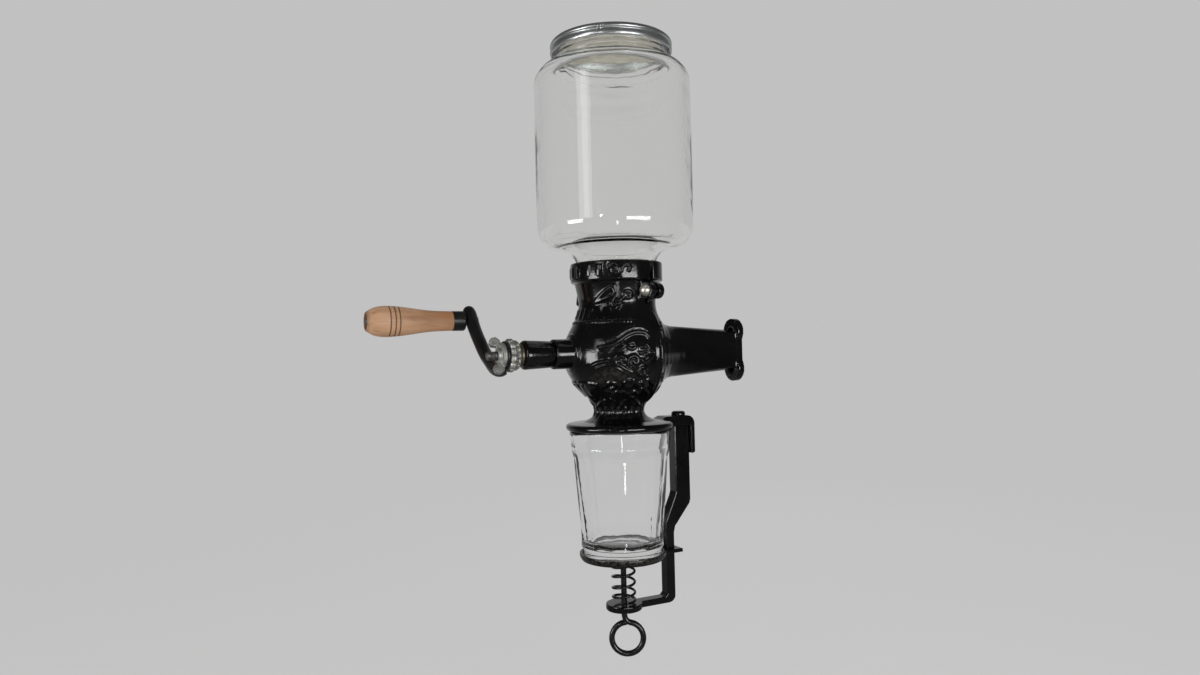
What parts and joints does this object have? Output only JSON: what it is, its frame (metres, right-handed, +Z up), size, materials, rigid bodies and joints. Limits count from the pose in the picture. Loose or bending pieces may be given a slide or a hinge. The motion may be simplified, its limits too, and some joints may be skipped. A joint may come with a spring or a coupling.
{
  "type": "wall mounted coffee mill",
  "caption": "Wall mounted hand coffee mill: glass bean jar on an ornate cast body, wall bracket, side crank with wooden grip and a spring-held glass cup below.",
  "frame": {"origin": "centre of the wall plate's back face, where the shaft's axis meets the wall", "axes": "+Z up along jar and cup, +Y into the wall along the shaft, crank towards -Y, +X the side with the jar clamp"},
  "size_m": [0.1267, 0.2585, 0.4235],
  "materials": {
    "enamel": "gloss black enamel on cast iron",
    "black_iron": "satin black paint",
    "spring_steel": "blackened spring wire",
    "steel": "dull steel",
    "burr_iron": "chilled iron",
    "brass": "tarnished brass",
    "galvanised": "dull galvanised",
    "nickel": "dull nickel plate",
    "glass": "clear pressed glass",
    "liner": "aged pulp board",
    "zinc": "dull zinc sheet",
    "wood": "turned beech, thin varnish"
  },
  "bodies": {
    "mill_body": {"body_casting": "enamel", "wall_bracket": "enamel", "bracket_screws": "steel", "stationary_burr": "burr_iron", "burr_screws": "steel", "front_sleeve": "enamel", "glass_jar": "glass", "clamp_screw": "nickel", "cup_bracket": "enamel", "cup_bracket_screw": "enamel", "lift_spring": "spring_steel"},
    "crank": {"drive_shaft": "steel", "rotating_burr": "burr_iron", "burr_cross_pin": "steel", "feed_worm": "burr_iron", "thrust_spring": "spring_steel", "thrust_washer": "brass", "crank_arm": "black_iron", "wing_nut": "galvanised", "grip_spindle": "steel", "grip_end_washer": "steel"},
    "adjuster": {"adjusting_nut": "galvanised"},
    "grip": {"wooden_grip": "wood", "grip_ferrule": "black_iron"},
    "liner": {"lid_liner": "liner"},
    "lid": {"jar_lid": "zinc"},
    "tray": {"cup_tray": "enamel", "plunger_rod": "black_iron", "spring_seat": "steel", "catch_cup": "glass"}
  },
  "joints": [
    {"name": "crank_spin", "type": "hinge", "parent": "mill_body", "child": "crank", "pos_m": [0, -0.1, 0], "axis": [0, 1, 0], "continuous": true},
    {"name": "grip_spin", "type": "hinge", "parent": "crank", "child": "grip", "pos_m": [-0.062, -0.1896, 0.025], "axis": [0, 1, 0], "continuous": true},
    {"name": "grind_adjust", "type": "hinge", "parent": "crank", "child": "adjuster", "pos_m": [0, -0.1, 0], "axis": [0, 1, 0], "range_deg": [-180, 180]},
    {"name": "lid_rise", "type": "slide", "parent": "mill_body", "child": "liner", "axis": [0, 0, 1], "range_m": [0, 0.0102]},
    {"name": "lid_turn", "type": "hinge", "parent": "liner", "child": "lid", "pos_m": [0, -0.1, 0.21], "axis": [0, 0, 1], "range_deg": [0, 720]},
    {"name": "tray_drop", "type": "slide", "parent": "mill_body", "child": "tray", "axis": [0, 0, -1], "range_m": [0, 0.01], "deforming": ["lift_spring"]}
  ],
  "couplings": [
    {"joint": "lid_rise", "follows": "lid_turn", "m_per_rad": 0.00081169}
  ]
}
